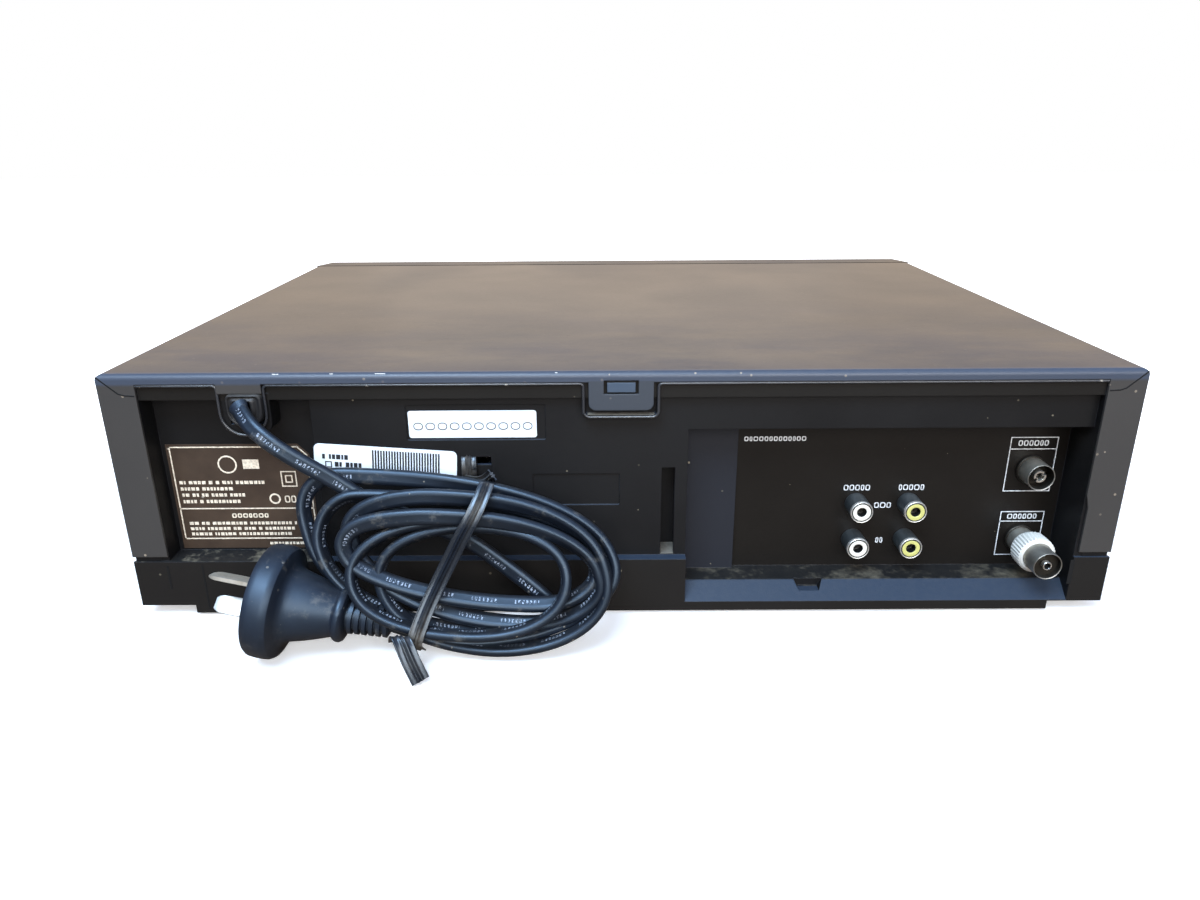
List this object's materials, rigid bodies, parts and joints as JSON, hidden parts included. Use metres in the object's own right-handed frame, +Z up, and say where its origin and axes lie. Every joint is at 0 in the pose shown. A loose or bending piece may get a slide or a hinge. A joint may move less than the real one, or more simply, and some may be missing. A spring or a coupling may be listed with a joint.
{
  "type": "video cassette recorder",
  "caption": "Tape deck for video cassettes: steel cover, plastic rear panel with jack bay, tied mains lead, front-loading door and a full tape mechanism.",
  "frame": {"origin": "centre of the footprint, on the surface that the feet stand on", "axes": "+X to the right of someone facing the front, +Y from the front to the sockets, +Z up"},
  "size_m": [0.36, 0.3166, 0.094],
  "materials": {
    "steel_cover": "satin textured charcoal",
    "black_plastic": "fine textured",
    "bezel_plastic": "satin",
    "smoked_window": "gloss",
    "key_plastic": "satin",
    "foot_rubber": "matt",
    "plated_steel": "satin",
    "screw_steel": "black satin",
    "label_print": "satin",
    "white_paper": "paper",
    "circuit_board": "satin",
    "chip_black": "matt",
    "capacitor_sleeve": "gloss",
    "iron_core": "dull",
    "aluminium": "satin",
    "nickel": "bright",
    "white_insert": "gloss",
    "yellow_insert": "gloss",
    "white_ring": "satin",
    "cord_rubber": "satin",
    "brass_blade": "worn nickel",
    "tie_plastic": "satin",
    "gear_plastic": "satin",
    "roller_rubber": "matt",
    "belt_rubber": "matt"
  },
  "bodies": {
    "chassis": {"top_cover": "steel_cover", "cover_screws": "screw_steel", "base_frame": "black_plastic", "feet": "foot_rubber", "bottom_plate": "plated_steel", "rear_panel": "black_plastic", "cord_gland": "cord_rubber", "rating_label": "label_print", "stickers": "white_paper", "av_jack_block": "chip_black", "audio_jack_liners": "white_insert", "video_jack_liners": "yellow_insert", "tuner_box": "plated_steel", "rf_sockets": "nickel", "adaptor_tube": "nickel", "front_panel": "bezel_plastic", "display_window": "smoked_window", "display_module": "chip_black", "front_board": "circuit_board", "main_board": "circuit_board", "board_chips": "chip_black", "board_capacitors": "capacitor_sleeve", "power_transformer": "iron_core", "heat_sink": "aluminium", "deck_plate": "plated_steel", "drum_lower": "aluminium", "drive_belt": "belt_rubber", "tape_heads": "aluminium", "loading_motor": "plated_steel", "carriage_brackets": "plated_steel", "power_lead": "cord_rubber", "cord_coil": "cord_rubber", "plug_body": "cord_rubber", "plug_pins": "brass_blade", "twist_tie": "tie_plastic"},
    "door": {"cassette_door": "bezel_plastic"},
    "slider": {"carriage_slider": "gear_plastic"},
    "holder": {"cassette_holder": "plated_steel"},
    "upper_drum": {"drum_upper": "aluminium"},
    "capstan": {"capstan_flywheel": "nickel"},
    "reel_drive": {"reel_pulley": "gear_plastic"},
    "supply_table": {"supply_reel": "gear_plastic"},
    "takeup_table": {"takeup_reel": "gear_plastic"},
    "idler": {"idler_gear": "gear_plastic"},
    "cam": {"cam_gear": "gear_plastic"},
    "left_guide": {"guide_left": "nickel"},
    "right_guide": {"guide_right": "nickel"},
    "pinch_lever": {"pinch_arm": "plated_steel"},
    "pinch_wheel": {"pinch_roller": "roller_rubber"},
    "rocker": {"channel_rocker": "key_plastic"},
    "knurled_ring": {"adaptor_ring": "white_ring"},
    "power_button_body": {"power_button": "key_plastic"},
    "eject_button_body": {"eject_button": "key_plastic"},
    "play_button_body": {"play_button": "key_plastic"},
    "rewind_button_body": {"rewind_button": "key_plastic"},
    "forward_button_body": {"forward_button": "key_plastic"},
    "stop_button_body": {"stop_button": "key_plastic"},
    "record_button_body": {"record_button": "key_plastic"}
  },
  "joints": [
    {"name": "door_hinge", "type": "hinge", "parent": "chassis", "child": "door", "pos_m": [0, -0.1334, 0.0841], "axis": [1, 0, 0], "range_deg": [0, 88], "stiffness_Nm_per_rad": 0.006},
    {"name": "carriage_in", "type": "slide", "parent": "chassis", "child": "slider", "axis": [0, 1, 0], "range_m": [0, 0.06]},
    {"name": "carriage_drop", "type": "slide", "parent": "slider", "child": "holder", "axis": [0, 0, -1], "range_m": [0, 0.018]},
    {"name": "drum_spin", "type": "hinge", "parent": "chassis", "child": "upper_drum", "pos_m": [0, 0.074, 0.03216], "axis": [0, 0.0698, 0.9976], "continuous": true},
    {"name": "capstan_spin", "type": "hinge", "parent": "chassis", "child": "capstan", "pos_m": [0.06, 0.041, 0.02], "axis": [0, 0, 1], "continuous": true},
    {"name": "reel_drive_spin", "type": "hinge", "parent": "chassis", "child": "reel_drive", "pos_m": [0, -0.002, 0.022], "axis": [0, 0, 1], "continuous": true},
    {"name": "supply_spin", "type": "hinge", "parent": "chassis", "child": "supply_table", "pos_m": [-0.04615, -0.03, 0.034], "axis": [0, 0, 1], "continuous": true},
    {"name": "takeup_spin", "type": "hinge", "parent": "chassis", "child": "takeup_table", "pos_m": [0.04615, -0.03, 0.034], "axis": [0, 0, 1], "continuous": true},
    {"name": "idler_spin", "type": "hinge", "parent": "chassis", "child": "idler", "pos_m": [0, -0.03, 0.033], "axis": [0, 0, 1], "continuous": true},
    {"name": "cam_turn", "type": "hinge", "parent": "chassis", "child": "cam", "pos_m": [-0.072, 0.05, 0.033], "axis": [0, 0, 1], "range_deg": [0, 150]},
    {"name": "left_guide_travel", "type": "slide", "parent": "chassis", "child": "left_guide", "axis": [-0.2095, 0.9778, 0], "range_m": [0, 0.043]},
    {"name": "right_guide_travel", "type": "slide", "parent": "chassis", "child": "right_guide", "axis": [0.2095, 0.9778, 0], "range_m": [0, 0.043]},
    {"name": "pinch_swing", "type": "hinge", "parent": "chassis", "child": "pinch_lever", "pos_m": [0.072, 0.063, 0.033], "axis": [0, 0, 1], "range_deg": [-35, 0]},
    {"name": "pinch_roller_spin", "type": "hinge", "parent": "pinch_lever", "child": "pinch_wheel", "pos_m": [0.07674, 0.04668, 0.043], "axis": [0, 0, 1], "continuous": true},
    {"name": "rocker_tilt", "type": "hinge", "parent": "chassis", "child": "rocker", "pos_m": [0.15, -0.132, 0.024], "axis": [1, 0, 0], "range_deg": [-4, 4], "stiffness_Nm_per_rad": 0.05},
    {"name": "adaptor_ring_turn", "type": "hinge", "parent": "chassis", "child": "knurled_ring", "pos_m": [-0.1545, 0.127, 0.0219], "axis": [0, 1, 0], "continuous": true},
    {"name": "power_button_press", "type": "slide", "parent": "chassis", "child": "power_button_body", "axis": [0, 1, 0], "range_m": [0, 0.002], "stiffness_N_per_m": 400},
    {"name": "eject_button_press", "type": "slide", "parent": "chassis", "child": "eject_button_body", "axis": [0, 1, 0], "range_m": [0, 0.002], "stiffness_N_per_m": 400},
    {"name": "play_button_press", "type": "slide", "parent": "chassis", "child": "play_button_body", "axis": [0, 1, 0], "range_m": [0, 0.002], "stiffness_N_per_m": 400},
    {"name": "rewind_button_press", "type": "slide", "parent": "chassis", "child": "rewind_button_body", "axis": [0, 1, 0], "range_m": [0, 0.002], "stiffness_N_per_m": 400},
    {"name": "forward_button_press", "type": "slide", "parent": "chassis", "child": "forward_button_body", "axis": [0, 1, 0], "range_m": [0, 0.002], "stiffness_N_per_m": 400},
    {"name": "stop_button_press", "type": "slide", "parent": "chassis", "child": "stop_button_body", "axis": [0, 1, 0], "range_m": [0, 0.002], "stiffness_N_per_m": 400},
    {"name": "record_button_press", "type": "slide", "parent": "chassis", "child": "record_button_body", "axis": [0, 1, 0], "range_m": [0, 0.002], "stiffness_N_per_m": 400}
  ],
  "couplings": [
    {"joint": "reel_drive_spin", "follows": "capstan_spin", "ratio": 0.5},
    {"joint": "left_guide_travel", "follows": "cam_turn", "m_per_rad": 0.0164},
    {"joint": "right_guide_travel", "follows": "cam_turn", "m_per_rad": 0.0164},
    {"joint": "pinch_swing", "follows": "cam_turn", "ratio": -0.2333}
  ]
}
